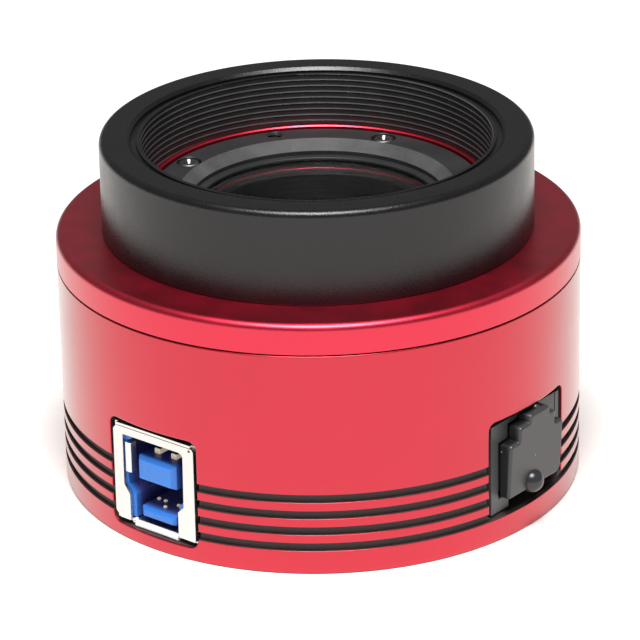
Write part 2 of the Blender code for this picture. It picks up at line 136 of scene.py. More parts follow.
class Graph:
    """A material with its node tree, and short ways to add and join nodes."""

    def __init__(self, name):
        self.material = bpy.data.materials.new(name)
        self.material.use_nodes = True
        self.tree = self.material.node_tree
        self.shader = self.tree.nodes["Principled BSDF"]

    def node(self, kind, **values):
        """A new node. A value names an attribute of the node, or one of its sockets."""
        made = self.tree.nodes.new(kind)
        for key, value in values.items():
            if hasattr(made, key):
                setattr(made, key, value)
            else:
                made.inputs[key.replace("_", " ")].default_value = value
        return made

    def join(self, source, target):
        self.tree.links.new(source, target)

    def sum(self, a, b):
        """The sum of two sockets."""
        made = self.node("ShaderNodeMath", operation="ADD")
        self.join(a, made.inputs[0])
        self.join(b, made.inputs[1])
        return made.outputs[0]

    def ranged(self, value, low, high, to_low, to_high):
        """A socket's range low..high mapped to another, and clamped to it."""
        made = self.node("ShaderNodeMapRange", From_Min=low, From_Max=high, To_Min=to_low, To_Max=to_high)
        self.join(value, made.inputs["Value"])
        return made.outputs["Result"]

    def place(self, axis):
        """The place along one axis, in metres."""
        parts = self.node("ShaderNodeSeparateXYZ")
        self.join(self.node("ShaderNodeTexCoord").outputs["Object"], parts.inputs[0])
        return parts.outputs[axis]

    def mixed(self, factor, shade, color):
        """A socket's colour mixed with a fixed one."""
        made = self.node("ShaderNodeMix", data_type="RGBA")
        self.join(factor, made.inputs["Factor"])
        self.join(shade, made.inputs["A"])
        made.inputs["B"].default_value = (*color, 1)
        return made.outputs["Result"]

    def noise(self, size, detail=3.0, stretch=(1, 1, 1)):
        """Noise with features of about a size in millimetres, longer along an axis whose stretch is small."""
        mapping = self.node("ShaderNodeMapping", Scale=stretch)
        self.join(self.node("ShaderNodeTexCoord").outputs["Object"], mapping.inputs["Vector"])
        texture = self.node("ShaderNodeTexNoise", Scale=1 / (size * MM), Detail=detail, Roughness=0.6)
        self.join(mapping.outputs[0], texture.inputs["Vector"])
        return texture.outputs["Fac"]


def finish(name, color, rough, metallic=0.0, grain=0.2, relief=0.002, vary=0.1, swing=0.05,
           stretch=(1, 1, 1), painted_shade_fade=None, specks=None, **sockets):
    """A procedural finish. Its colour and roughness vary over a fine grain, in millimetres, and over broad
    patches, and the grain stands up by the relief, in millimetres. It can darken towards a colour along an
    axis as painted shade, given as (axis, start, end, colour). It can carry pale specks of dust where a noise
    passes a level, given as (size, level, colour)."""
    graph = Graph(name)
    fine = graph.noise(grain, stretch=stretch)
    broad = graph.noise(grain * PATCH, detail=2.0, stretch=stretch)
    blend = graph.node("ShaderNodeMix", data_type="RGBA")
    both = graph.sum(fine, broad)
    graph.join(graph.ranged(both, MIX_LOW, MIX_HIGH, 0, 1), blend.inputs["Factor"])
    dark = [channel * (1 - vary) for channel in color]
    light = [min(1.0, channel * (1 + vary)) for channel in color]
    blend.inputs["A"].default_value = (*dark, 1)
    blend.inputs["B"].default_value = (*light, 1)
    shade = blend.outputs["Result"]
    if painted_shade_fade:
        axis, start, end, far = painted_shade_fade
        shade = graph.mixed(graph.ranged(graph.place(axis), start * MM, end * MM, 0, 1), shade, far)
    if specks:
        size, level, pale = specks
        dust = graph.ranged(graph.noise(size, detail=1.0), level, level + 0.02, 0, 1)
        shade = graph.mixed(dust, shade, pale)
    graph.join(shade, graph.shader.inputs["Base Color"])
    roughness = graph.ranged(both, MIX_LOW, MIX_HIGH, rough - swing, rough + swing)
    graph.join(roughness, graph.shader.inputs["Roughness"])
    bump = graph.node("ShaderNodeBump", Distance=relief * MM)
    graph.join(fine, bump.inputs["Height"])
    graph.join(bump.outputs[0], graph.shader.inputs["Normal"])
    graph.shader.inputs["Metallic"].default_value = metallic
    for key, value in sockets.items():
        graph.shader.inputs[key.replace("_", " ")].default_value = value
    return graph.material


def clear_glass(name, tint):
    """Clear glass that bends the light, with a faint tint that varies over it."""
    return finish(name, tint, 0.0, grain=0.5, relief=0.0, vary=0.02, swing=0.0,
                  Transmission_Weight=1.0, IOR=1.5, Specular_IOR_Level=0.2)


RED_COAT = {"Coat_Weight": 1.0, "Coat_IOR": 1.5, "Specular_Tint": (0.62, 1.0, 0.94, 1.0)}
RED_SHELL = finish("red_anodised_barrel", (0.52, 0.008, 0.029), 0.33, 1.0, grain=0.18, vary=0.05,
                   Coat_Roughness=0.25, **RED_COAT)
RED_COVER = finish("red_anodised_cover", (0.67, 0.009, 0.044), 0.42, 1.0, grain=0.18, vary=0.05,
                   Coat_Roughness=0.33, **RED_COAT)
BLACK_RING = finish("black_anodised_ring", (0.006, 0.006, 0.007), 0.28, grain=0.14, relief=0.022, vary=0.2,
                    Specular_IOR_Level=0.46)
# The ring's black anodising in a lighter copy for the thread's flanks: painted light that evens their
# shading.
BLACK_THREAD_PAINTED_LIGHT = finish("black_anodised_thread_painted_light", (0.055, 0.055, 0.056), 0.7, grain=0.16, relief=0.004, vary=0.2,
                      Specular_IOR_Level=0.15)
BLACK_PLATE = finish("black_anodised_plate", (0.026, 0.026, 0.027), 0.42, grain=0.2, relief=0.006, vary=0.25,
                     Specular_IOR_Level=0.22)
# The retainer's black anodising in a lighter copy for its slope: a painted highlight, even all round.
BLACK_SLOPE_PAINTED_HIGHLIGHT = finish("black_anodised_slope_painted_highlight", (0.078, 0.078, 0.079), 0.5, grain=0.12, relief=0.010, vary=0.3,
                     Specular_IOR_Level=0.12)
# Black fill of the barrel's grooves. The same dark stands as painted shade on the walls of the socket
# cut-outs and on the cover's ledge wall.
GROOVE_BLACK_AND_PAINTED_SHADE = finish("groove_black_and_painted_shade", (0.042, 0.027, 0.027), 0.6, grain=0.3, vary=0.3)
GASKET = finish("gasket_rubber", (0.03, 0.03, 0.031), 0.7, grain=0.3, relief=0.008, vary=0.2)
BAFFLE = finish("baffle_rubber", (0.006, 0.006, 0.007), 0.85, grain=0.3, relief=0.01, vary=0.3)
SEAL = finish("seal_rubber", (0.015, 0.015, 0.015), 0.75, grain=0.3, relief=0.01, vary=0.2)
# Rubber that darkens towards the back of the head along X: painted shade on the head's sides and nub. The
# pale specks are dust.
PLUG_RUBBER_PAINTED_SHADE = finish("plug_rubber", (0.040, 0.041, 0.042), 0.34, grain=0.25, relief=0.004, vary=0.12,
                     painted_shade_fade=("X", 31.45, 31.05, (0.010, 0.010, 0.011)), specks=(0.45, 0.79, (0.4, 0.4, 0.39)))
PLUG_DOME = finish("plug_polished_dome", (0.024, 0.024, 0.026), 0.26, grain=0.25, relief=0.001, vary=0.12)
JACK_GREY = finish("jack_plastic", (0.066, 0.072, 0.07), 0.4, grain=0.35, relief=0.006, vary=0.15)
# Blue plastic that darkens to navy deeper in the socket along Y: painted shade of the socket's dark inside.
USB_BLUE_PAINTED_SHADE = finish("usb_blue_plastic_painted_depth_shade", (0.030, 0.22, 0.74), 0.3, grain=0.4, relief=0.002, vary=0.06,
                  painted_shade_fade=("Y", -30.12, -28.7, (0.05, 0.06, 0.25)))
STEEL = finish("plated_steel", (0.69, 0.69, 0.665), 0.24, 1.0, grain=0.12, relief=0.001, vary=0.04,
               stretch=(1, 1, 0.15))
SPRING = finish("spring_steel", (0.74, 0.74, 0.73), 0.33, 1.0, grain=0.15, relief=0.001, vary=0.05)
# Cream contact plating with an emission: a painted glow where the contacts sit in the shell's shade.
CONTACT_PAINTED_GLOW = finish("usb_contact_plate_painted_glow", (0.97, 0.90, 0.70), 0.4, 0.0, grain=0.1, relief=0.001, vary=0.06,
                 Emission_Color=(1.0, 0.84, 0.55, 1.0), Emission_Strength=0.3)
# Plated steel that darkens to a dull blue towards the back along Y: painted shade, with a painted reflection
# of the blue insulator.
LIP_STEEL_PAINTED_SHADE = finish("lip_steel_painted_shade_and_reflection", (0.92, 0.92, 0.90), 0.3, 0.15, grain=0.15, relief=0.001, vary=0.05,
                   painted_shade_fade=("Y", -30.15, -27.6, (0.10, 0.12, 0.22)))
GOLD = finish("contact_gold", (0.93, 0.72, 0.36), 0.25, 1.0, grain=0.1, relief=0.001, vary=0.08)
BRASS = finish("pillar_brass", (0.78, 0.6, 0.3), 0.28, 1.0, grain=0.12, relief=0.001, vary=0.08)
SCREW_BLACK = finish("screw_black", (0.20, 0.20, 0.20), 0.45, 1.0, grain=0.1, relief=0.001, vary=0.15)
SCREW_STEEL = finish("screw_dark_steel", (0.12, 0.12, 0.12), 0.25, 1.0, grain=0.1, relief=0.001, vary=0.1)
BOARD = finish("board_green", (0.012, 0.11, 0.05), 0.32, grain=0.6, relief=0.01, vary=0.25)
CONNECTOR = finish("connector_black", (0.02, 0.02, 0.02), 0.45, grain=0.3, vary=0.15)
CHIP = finish("chip_black", (0.02, 0.02, 0.022), 0.5, grain=0.15, relief=0.003, vary=0.2)
CRYSTAL = finish("crystal_can", (0.8, 0.8, 0.8), 0.22, 1.0, grain=0.12, relief=0.001, stretch=(0.15, 1, 1))
FERRITE = finish("ferrite", (0.06, 0.06, 0.06), 0.6, grain=0.25, relief=0.01, vary=0.2)
CERAMIC = finish("ceramic", (0.2, 0.17, 0.14), 0.5, grain=0.2, relief=0.003, vary=0.12)
SILICON = finish("silicon", (0.05, 0.07, 0.1), 0.12, 0.6, grain=0.05, relief=0.0002, vary=0.25)
WINDOW = clear_glass("window_glass", (0.95, 0.98, 0.97))
SENSOR_GLASS = clear_glass("sensor_glass", (0.95, 0.97, 0.98))


# ---------------------------------------------------------------- shapes


def arcs(corners, steps=4):
    """An outline's points from its corners: a corner (a, b, radius) is rounded, and (a, b) stays sharp."""
    points = []
    for k, (a, b, *radius) in enumerate(corners):
        if not radius:
            points.append((a, b))
            continue
        here = Vector((a, b))
        back = (Vector(corners[k - 1][:2]) - here).normalized()
        onward = (Vector(corners[(k + 1) % len(corners)][:2]) - here).normalized()
        half = back.angle(onward) / 2
        centre = here + (back + onward).normalized() * radius[0] / math.sin(half)
        first = here + back * radius[0] / math.tan(half) - centre
        last = here + onward * radius[0] / math.tan(half) - centre
        start = math.atan2(first.y, first.x)
        sweep = (math.atan2(last.y, last.x) - start + math.pi) % math.tau - math.pi
        for step in range(steps + 1):
            angle = start + sweep * step / steps
            points.append((centre.x + radius[0] * math.cos(angle), centre.y + radius[0] * math.sin(angle)))
    return points


def divided(outline, steps=14):
    """An outline with every long edge cut into equal steps."""
    long_edge = 2
    points = []
    for k, here in enumerate(outline):
        after = outline[(k + 1) % len(outline)]
        parts = steps if math.dist(here, after) > long_edge else 1
        for part in range(parts):
            points.append((here[0] + (after[0] - here[0]) * part / parts,
                           here[1] + (after[1] - here[1]) * part / parts))
    return points


def closed(mesh):
    """Merges points that coincide and turns every face of a closed body outwards."""
    bmesh.ops.remove_doubles(mesh, verts=mesh.verts, dist=MERGE)
    bmesh.ops.recalc_face_normals(mesh, faces=mesh.faces)
    if mesh.calc_volume(signed=True) < 0:
        bmesh.ops.reverse_faces(mesh, faces=mesh.faces)
    return mesh


def turned(profile, segments=192):
    """A body turned about Z. The profile is (radius, z) points, or a function that gives them at an angle."""
    mesh = bmesh.new()
    columns = []
    for k in range(segments + 1):
        angle = math.tau * k / segments
        points = profile(angle) if callable(profile) else profile
        columns.append([mesh.verts.new((r * math.cos(angle), r * math.sin(angle), z)) for r, z in points])
    for left, right in zip(columns, columns[1:]):
        for j in range(len(left)):
            mesh.faces.new((left[j - 1], right[j - 1], right[j], left[j]))
    return closed(mesh)


def lofted(loops):
    """A body through several loops of points, closed at both ends."""
    mesh = bmesh.new()
    rings = [[mesh.verts.new(point) for point in loop] for loop in loops]
    mesh.faces.new(rings[0])
    mesh.faces.new(rings[-1])
    for near, far in zip(rings, rings[1:]):
        for k in range(len(near)):
            mesh.faces.new((near[k - 1], near[k], far[k], far[k - 1]))
    return closed(mesh)


def drawn(outline, start, end, axis):
    """An outline drawn out along an axis. Its points are (y, z) for "x", (x, z) for "y", (x, y) for "z"."""
    if axis == "x":
        return lofted([[(t, a, b) for a, b in outline] for t in (start, end)])
    if axis == "y":
        return lofted([[(a, t, b) for a, b in outline] for t in (start, end)])
    return lofted([[(a, b, t) for a, b in outline] for t in (start, end)])


def oblong(half_a, half_b):
    """A rectangle's corners about the middle, from half its size each way."""
    return [(-half_a, -half_b), (half_a, -half_b), (half_a, half_b), (-half_a, half_b)]


def block(x, y, z):
    """A rectangular block from its low and high value on each axis."""
    return drawn([(x[0], y[0]), (x[1], y[0]), (x[1], y[1]), (x[0], y[1])], z[0], z[1], "z")


def moved(mesh, offset, turn=0.0):
    """Turns a body about Z by an angle in degrees and then shifts it."""
    mesh.transform(Matrix.Translation(Vector(offset)) @ Matrix.Rotation(math.radians(turn), 4, "Z"))
    return mesh


def ball(radius, centre, segments):
    """A ball about a centre."""
    mesh = bmesh.new()
    bmesh.ops.create_uvsphere(mesh, u_segments=segments, v_segments=segments // 2, radius=radius)
    return moved(mesh, centre)


def polar(radius, degrees):
    """A point from its radius and angle about the optical axis."""
    angle = math.radians(degrees)
    return Vector((radius * math.cos(angle), radius * math.sin(angle), 0))


def painted(mesh, index, test):
    """Gives the faces whose middle passes a test another of the piece's materials."""
    for face in mesh.faces:
        if test(face.calc_center_median()):
            face.material_index = index
    return mesh


def combined(base, tools, operation="DIFFERENCE"):
    """A body with others cut out of it or joined on."""
    objects = []
    for mesh in (base, *tools):
        data = bpy.data.meshes.new("temporary")
        data.materials.append(None)
        data.materials.append(None)
        mesh.to_mesh(data)
        mesh.free()
        objects.append(bpy.data.objects.new("temporary", data))
        bpy.context.scene.collection.objects.link(objects[-1])
    for tool in objects[1:]:
        boolean = objects[0].modifiers.new("combine", "BOOLEAN")
        boolean.operation = operation
        boolean.object = tool
    bpy.context.view_layer.update()
    evaluated = objects[0].evaluated_get(bpy.context.evaluated_depsgraph_get())
    result = bmesh.new()
    result.from_mesh(evaluated.to_mesh())
    for old in objects:
        data = old.data
        bpy.data.objects.remove(old)
        bpy.data.meshes.remove(data)
    return result


def radial_normals(data, radius):
    """A mesh's corner normals: straight out from the axis on a cylinder's faces. Elsewhere they are zero,
    which leaves the mesh's own normals."""
    upright, near = 0.1, 0.012 * MM
    normals = []
    for polygon in data.polygons:
        corners = [data.vertices[index].co for index in polygon.vertices]
        around = abs(polygon.normal.z) < upright
        around = around and all(abs(math.hypot(c.x, c.y) - radius * MM) < near for c in corners)
        normals += [Vector((c.x, c.y, 0)).normalized() if around else Vector() for c in corners]
    return normals


def piece(name, mesh, body, materials, nodes=(), bevel=0.0, sharp=35, cylinder_r=0.0):
    """Makes a piece from a mesh in millimetres. It rides on a CAD body and stands for its CAD nodes. Its
    sharp edges can be bevelled, and its faces on a cylinder about the axis can be shaded as a true round."""
    mesh.transform(Matrix.Scale(MM, 4))
    data = bpy.data.meshes.new(name)
    for material in materials:
        data.materials.append(material)
    mesh.to_mesh(data)
    mesh.free()
    data.shade_smooth()
    data.set_sharp_from_angle(angle=math.radians(sharp))
    made = bpy.data.objects.new(name, data)
    bpy.context.scene.collection.objects.link(made)
    if bevel:
        edges = made.modifiers.new("Bevel", "BEVEL")
        edges.width = bevel * MM
        edges.segments = 3
        edges.limit_method = "ANGLE"
        edges.angle_limit = math.radians(28)
    if cylinder_r:
        data.normals_split_custom_set(radial_normals(data, cylinder_r))
    else:
        normals = made.modifiers.new("Weighted normals", "WEIGHTED_NORMAL")
        normals.keep_sharp = True
    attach(made, body)
    if nodes:
        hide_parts(*nodes)
    return made


def thread(low, high, crest, root, angle, first):
    """A thread's (radius, z) points from low to high at one angle. Its crests climb by the pitch in one turn,
    and a crest's foot is at the height "first" on the +X side."""
    soft = crest + (root - crest) * 0.1
    # A corner's share of the pitch, and its radius
    corners = [(0.0, crest), (0.12, crest), (0.16, soft), (0.26, root), (0.36, root), (0.95, soft)]
    points = []
    for turn in range(math.floor((low - first) / PITCH) - 2, math.ceil((high - first) / PITCH) + 2):
        for phase, radius in corners:
            z = first + (turn + phase + angle / math.tau) * PITCH
            if not low <= z <= high:
                z = min(max(z, low), high)
                radius = thread_radius(z - first, corners, angle)
            points.append((radius, z))
    return points


def thread_radius(height, corners, angle):
    """The thread's radius at a height above its first crest's foot, between its corners."""
    phase = (height / PITCH - angle / math.tau) % 1.0
    around = corners + [(1.0, corners[0][1])]
    for (p, a), (q, b) in zip(around, around[1:]):
        if p <= phase <= q:
            return a + (b - a) * (phase - p) / (q - p)
    return corners[0][1]


def socket_cutter(outward, across, z, corner):
    """The cutter of a socket's cut-out. It leaves a narrow rounded edge that follows the round barrel, and
    the second material below that edge. Each of its stations is grown by an amount and lies either at a flat
    depth or at a rise from the barrel's round."""
    inmost, outmost, edge_depth = 22.0, BODY_R + 2, 0.2
    stations = [(0.0, inmost, 0), (0.0, 0, -edge_depth), (0.05, 0, -0.07), (0.62, 0, 0.2), (0.62, outmost, 0)]
    loops = []
    for grow, flat, rise in stations:
        left, right, low, high = across[0] - grow, across[1] + grow, z[0] - grow, z[1] + grow
        outline = arcs([(right, low, corner + grow), (right, high, corner + grow),
                        (left, high, corner + grow), (left, low, corner + grow)], 6)
        loop = []
        for a, b in divided(outline):
            depth = flat or math.sqrt((BODY_R + rise) ** 2 - a ** 2)
            loop.append((a, -depth, b) if outward == "-y" else (depth, a, b))
        loops.append(loop)
    mesh = lofted(loops)
    # The cut-out's walls, below the rounded edge, take the dark second material: painted shade.
    for face in mesh.faces:
        radii = [math.hypot(v.co.x, v.co.y) for v in face.verts]
        if min(radii) < BODY_R - edge_depth - MARGIN:
            face.material_index = 1
    return mesh


# ---------------------------------------------------------------- camera head


def build_barrel():
    """The red barrel with four black-filled grooves and a cut-out for each socket."""
    corners = [(BORE_R, 0, 0.1), (BODY_R, 0, 0.22)]
    floor, lip = BODY_R - GROOVE_DEPTH, 0.05
    for top in reversed(GROOVE_TOPS):
        low = top - GROOVE_WIDTH
        corners += [(BODY_R, low, lip), (floor, low), (floor, top), (BODY_R, top, lip)]
    corners += [(BODY_R, SHELL_TOP, 0.12), (BORE_R, SHELL_TOP, 0.1), (BORE_R, WALL_HIGH), (WALL_R, WALL_HIGH),
                (WALL_R, WALL_LOW), (BORE_R, WALL_LOW)]
    barrel = turned(arcs(corners, 3), 256)
    bands = [(top - GROOVE_WIDTH - MARGIN, top + MARGIN) for top in GROOVE_TOPS]
    painted(barrel, 1, lambda c: BORE_R + 1 < math.hypot(c.x, c.y) < BODY_R - lip - MARGIN
            and any(low < c.z < top for low, top in bands))
    cutters = [socket_cutter("-y", USB_CUT_X, USB_CUT_Z, USB_CUT_CORNER),
               socket_cutter("+x", GUIDE_CUT_Y, GUIDE_CUT_Z, GUIDE_CUT_CORNER)]
    barrel = combined(barrel, cutters)
    piece("red_barrel", barrel, CAMERA_BODY, [RED_SHELL, GROOVE_BLACK_AND_PAINTED_SHADE], ["main_shell"], sharp=40,
          cylinder_r=BODY_R)


def build_cover():
    """The red front cover: a flange with a rounded edge, the threaded boss and the window's seat."""
    skirt_in, skirt_out, skirt_low, deck_low = 26.6, 28.5, 25.0, 28.3
    chamfer, thread_foot, wall_round = 0.13, COVER_TOP + 0.3, 0.08
    outer = arcs([(BODY_R - 2.5, SEAM_LOW), (BODY_R, SEAM_LOW, 0.1), (BODY_R, COVER_TOP, 0.8),
                  (BOSS_ROOT, COVER_TOP)], 8)
    inner = arcs([(BOSS_ROOT - 0.05, BOSS_TOP), (RECESS_R + chamfer, BOSS_TOP, 0.04),
                  (RECESS_R, BOSS_TOP - chamfer, 0.04), (RECESS_R, RECESS_Z),
                  (SEAT_R, RECESS_Z), (SEAT_R, LEDGE_Z), (LEDGE_R, LEDGE_Z, wall_round), (LEDGE_R, deck_low),
                  (skirt_in, deck_low), (skirt_in, skirt_low), (skirt_out, skirt_low)], 4)

    def profile(angle):
        boss = thread(thread_foot, BOSS_TOP - 0.15, BOSS_CREST, BOSS_ROOT, angle, thread_foot)
        return outer + boss + inner

    # The ledge wall under the window takes the dark second material: painted shade.
    def on_ledge_wall(c):
        return math.hypot(c.x, c.y) < LEDGE_R + 2 * MARGIN and c.z < LEDGE_Z - wall_round - MARGIN

    cover = painted(turned(profile, 256), 1, on_ledge_wall)
    piece("red_front_cover", cover, CAMERA_BODY, [RED_COVER, GROOVE_BLACK_AND_PAINTED_SHADE], ["front_cover"])


def build_back_cover():
    """The flush back plate, with a countersink for each screw."""
    high = span("back_cover")[2][1]
    radius = span("back_cover")[0][1]
    mouth_r, sink_r, sink_depth, bore_r = 2.7, 2.6, 1.15, 1.3
    plate = turned(arcs([(0, 0), (radius, 0, 0.15), (radius, high), (0, high)], 3), 192)
    sinks = []
    for number in SCREW_NUMBERS:
        place = middle_of(f"back_screw_{number}")
        sink = arcs([(0, -1), (mouth_r, -1), (mouth_r, 0.0), (sink_r, 0.1), (bore_r, sink_depth), (bore_r, 3),
                     (0, 3)])
        sinks.append(moved(turned(sink, 48), (place.x, place.y, 0)))
    piece("red_back_cover", combined(plate, sinks), CAMERA_BODY, [RED_SHELL], ["back_cover"])


def build_ring():
    """The black nose ring, with its inside thread running from end to end."""
    collar_r, mouth_r, rim_r, foot_r = 21.1, 21.82, 22.2, 21.2
    step_z, chamfer = RING_THREAD_TOP - 0.4, 0.36
    outside = arcs([(collar_r, RING_THREAD_TOP), (collar_r, step_z, 0.06), (mouth_r, step_z, 0.03),
                    (mouth_r, RING_TOP - chamfer, 0.03), (rim_r, RING_TOP, 0.08), (RING_R, RING_TOP, 0.8),
                    (RING_R, RING_FOOT, 0.1), (foot_r, RING_FOOT)], 6)

    def profile(angle):
        inside = thread(RING_LOW + 0.3, RING_THREAD_TOP, RING_CREST, RING_ROOT, angle, RING_FIRST_CREST)
        return inside + outside

    # The thread's flanks take the lighter copy of the ring's black: painted light.
    def in_thread(c):
        return RING_CREST + 0.04 < math.hypot(c.x, c.y) < RING_ROOT + 0.05

    ring = painted(turned(profile, 256), 1, in_thread)
    piece("black_nose_ring", ring, NOSE_RING, [BLACK_RING, BLACK_THREAD_PAINTED_LIGHT], ["adapter_ring"])


def build_retainer():
    """The black plate over the window, with a slope down to its lip, counterbored screw holes and two tapped
    holes."""
    lip_r, lip_top, under = 14.15, RETAINER_LOW + 0.2, WINDOW_TOP + 0.02
    slope_in, slope_out, slope_foot = 15.1, 16.3, 33.9
    profile = arcs([(lip_r, under, 0.03), (WINDOW_R, under), (WINDOW_R, RETAINER_LOW),
                    (RETAINER_R, RETAINER_LOW, 0.05), (RETAINER_R, RETAINER_TOP, 0.1),
                    (slope_out, RETAINER_TOP, 0.05), (slope_in, slope_foot, 0.04), (slope_in, lip_top),
                    (lip_r, lip_top, 0.18)], 6)
    shank_r, head_r, head_mouth_r, seat_z = 0.95, 1.5, 1.62, 34.2
    below, above = 32, 36
    tools = []
    for number in SCREW_NUMBERS:
        place = middle_of(f"retainer_screw_{number}")
        bore = arcs([(0, below), (shank_r, below), (shank_r, seat_z), (head_r, seat_z),
                     (head_r, RETAINER_TOP - 0.08), (head_mouth_r, RETAINER_TOP + 0.04),
                     (head_mouth_r, above), (0, above)])
        tools.append(moved(turned(bore, 48), (place.x, place.y, 0)))
    hole_low, hole_mouth_r = RETAINER_LOW + 0.3, 1.15

    def hole(turn):
        return [(0, hole_low), *small_thread(hole_low, RETAINER_TOP - 0.15, turn),
                (hole_mouth_r, RETAINER_TOP + 0.03), (hole_mouth_r, above), (0, above)]

    # The slope takes the lighter copy of the plate's black: a painted highlight.
    def on_slope(c):
        return c.z > slope_foot + 0.05 and slope_in < math.hypot(c.x, c.y) < slope_out

    for angle in TAPPED_HOLE_ANGLES:
        tools.append(moved(turned(hole, 40), polar(TAPPED_HOLE_R, angle)))
    plate = painted(turned(profile, 256), 1, on_slope)
    piece("black_retainer", combined(plate, tools), CAMERA_BODY, [BLACK_PLATE, BLACK_SLOPE_PAINTED_HIGHLIGHT],
          ["window_retainer"])


def small_thread(low, high, angle):
    """A tapped hole's (radius, z) points at one angle: a plain fine wave."""
    steps, middle_r, wave, pitch = 18, 0.94, 0.06, 0.4
    points = []
    for step in range(steps + 1):
        z = low + (high - low) * step / steps
        points.append((middle_r + wave * math.cos(math.tau * (z / pitch) - angle), z))
    return points


def cross_recess(radius, top, depth):
    """The cutters of a screw head's cross recess: two tapered slots and a cone in the middle."""
    width, taper, reach, cone_r = radius * 0.28, 0.35, radius * 0.72, radius * 0.3
    above = top + 0.5
    foot = oblong(radius * taper, width * taper)
    mouth = oblong(reach, width / 2)
    loops = [[(a, b, top - depth) for a, b in foot], [(a, b, top) for a, b in mouth],
             [(a * 1.02, b * 1.02, above) for a, b in mouth]]
    cutters = [moved(lofted(loops), (0, 0, 0), turn) for turn in (0, 90)]
    cutters.append(turned([(0, top - depth * 1.15), (cone_r, top), (cone_r, above), (0, above)], 24))
    return cutters


def build_retainer_screws():
    """Four small cross-head screws, sunk in the retainer's counterbores."""
    tip, shank_r, head_low, head_r, top = 30.2, 0.7, 34.3, 1.3, RETAINER_TOP - 0.05
    for number, turn in zip(SCREW_NUMBERS, (35, 43, 10, 70)):
        node = f"retainer_screw_{number}"
        place = middle_of(node)
        outline = arcs([(0, tip), (shank_r, tip), (shank_r, head_low), (head_r, head_low, 0.04),
                        (head_r, top, 0.42), (0, top)], 6)
        screw = combined(turned(outline, 48), cross_recess(head_r, top, 0.4))
        piece(f"black_{node}", moved(screw, (place.x, place.y, 0), turn), CAMERA_BODY, [SCREW_BLACK],
              [node], bevel=0.03)


def build_back_screws():
    """Four countersunk cross-head screws in the back plate."""
    face, head_r, neck, shank_r, tip = 0.1, 2.1, 1.2, 0.95, 6.4
    for number, turn in zip(SCREW_NUMBERS, (15, 60, 35, 80)):
        node = f"back_screw_{number}"
        place = middle_of(node)
        outline = arcs([(0, face), (head_r, face, 0.05), (head_r, face + 0.15), (shank_r, neck),
                        (shank_r, tip), (0, tip)], 3)
        recess = cross_recess(head_r, -face, 1.1)
        for tool in recess:
            tool.transform(Matrix.Scale(-1, 4, (0, 0, 1)))
            bmesh.ops.recalc_face_normals(tool, faces=tool.faces)
        screw = combined(turned(outline, 64), recess)
        piece(f"steel_{node}", moved(screw, (place.x, place.y, 0), turn), CAMERA_BODY, [SCREW_STEEL],
              [node])


def build_window():
    """The window with its rounded edge, and the gasket under it."""
    edge = 0.12
    glass = arcs([(0, WINDOW_LOW), (WINDOW_R, WINDOW_LOW, edge), (WINDOW_R, WINDOW_TOP, edge),
                  (0, WINDOW_TOP)], 3)
    piece("clear_window", turned(glass, 192), CAMERA_BODY, [WINDOW], ["window_glass"])
    low, high = span("window_gasket")[2]
    inner_r, soft = 14.3, 0.05
    ring = arcs([(inner_r, low, soft), (WINDOW_R, low, soft), (WINDOW_R, high, soft),
                 (inner_r, high, soft)], 3)
    piece("rubber_gasket", turned(ring, 192), CAMERA_BODY, [GASKET], ["window_gasket"])


# ---------------------------------------------------------------- USB socket


def build_usb_shell():
    """The plated steel shell: a folded frame round the opening, with a tube behind it."""
    (left, right), (_, back), (low, high) = span("usb_shell")
    front, sheet, hole_r, hole_depth = USB_FACE, 0.4, 0.18, 0.25
    foot, top = low + 0.2, high - 0.34
    open_top, waist = 13.2, 6.82
    foot_left, foot_right, side_left, side_right = -4.02, 3.3, -4.85, 4.25
    outline = arcs([(foot_left, foot), (left + 0.7, foot, 0.15), (left, foot + 0.8, 0.3),
                    (left, top - 0.5, 0.1), (left + 0.45, top, 0.1), (right - 0.25, top, 0.1),
                    (right, top - 0.3, 0.1), (right, foot, 0.15), (foot_right, foot), (foot_right, 5.5, 0.15),
                    (4.17, 6.36, 0.15), (side_right, open_top, 0.6), (side_left, open_top, 0.15),
                    (side_left, waist, 0.2), (foot_left, 5.65, 0.2)], 4)
    face = drawn(outline, front, front + sheet, "y")
    tube = block((left, right), (front + sheet, back), (low, high))
    hollow = block((left + sheet, right - sheet), (front - 1, back + 1), (low + sheet, high - sheet))
    strip = block((left + 0.45, right - 0.5), (front + 0.02, front + 0.6), (top + 0.07, high + 0.03))
    hole = turned([(0, -hole_depth), (hole_r, -hole_depth), (hole_r, 1), (0, 1)], 16)
    facing_front(hole, (right - 0.62, front, high - 0.66))
    shell = combined(face, [combined(tube, [hollow]), strip], "UNION")
    piece("usb_steel_shell", combined(shell, [hole]), CAMERA_BODY, [STEEL], ["usb_shell"],
          bevel=0.04)


def facing_front(mesh, offset):
    """Turns a body's own Z to -Y and then shifts it."""
    mesh.transform(Matrix.Translation(offset) @ Matrix.Rotation(math.radians(90), 4, "X"))
    return mesh


